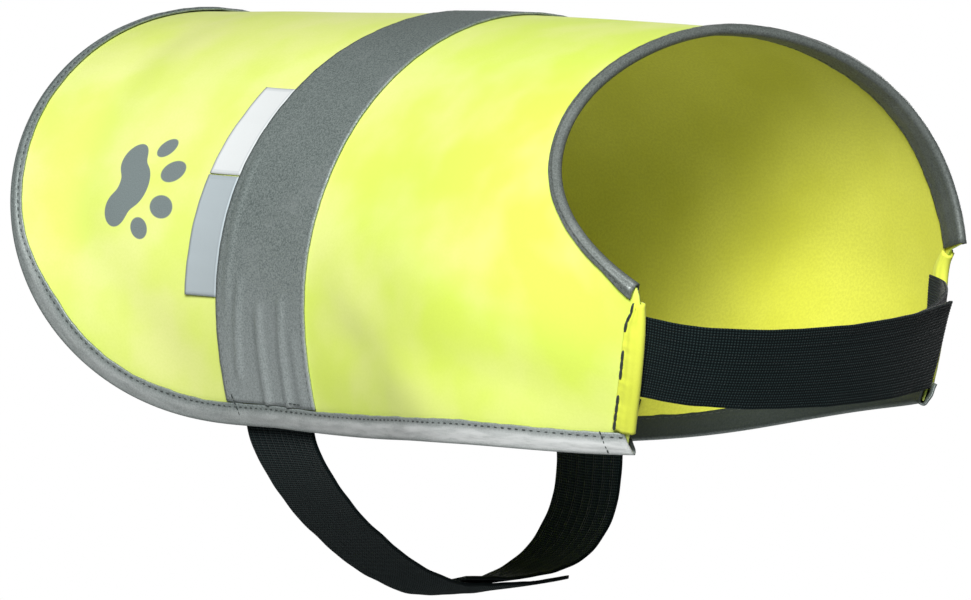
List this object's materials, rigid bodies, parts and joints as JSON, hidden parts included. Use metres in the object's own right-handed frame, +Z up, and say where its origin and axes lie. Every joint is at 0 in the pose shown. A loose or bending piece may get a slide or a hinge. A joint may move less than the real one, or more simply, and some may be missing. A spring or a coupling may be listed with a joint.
{
  "type": "dog safety vest",
  "caption": "High-visibility vest for a dog: a yellow saddle with bound edges, a grey reflective band across the back and dark elastic straps round chest and belly, held in its worn form.",
  "frame": {"origin": "on the inside of the back, on the ridge under the middle of the reflective band, where the wearer's back holds the vest up", "axes": "+X forward to the neck, +Y to the dog's left, +Z up"},
  "size_m": [0.3951, 0.2345, 0.2313],
  "materials": {
    "yellow_cloth": "matt fluorescent yellow woven polyester",
    "reflective_cloth": "grey glass-bead reflective cloth with a soft sheen",
    "dark_elastic": "matt ribbed dark green-black elastic",
    "white_label": "white woven label, blank",
    "silver_label": "silver-blue label, blank"
  },
  "bodies": {
    "root": {"back_panel": "yellow_cloth", "hem_binding": "reflective_cloth", "neck_binding": "reflective_cloth", "reflective_band": "reflective_cloth", "front_turning_right": "yellow_cloth", "front_turning_left": "yellow_cloth", "chest_strap_right": "dark_elastic", "chest_strap_left": "dark_elastic", "belly_strap_right": "dark_elastic", "belly_strap_left": "dark_elastic", "woven_label": "white_label", "silver_label": "silver_label"}
  },
  "joints": []
}
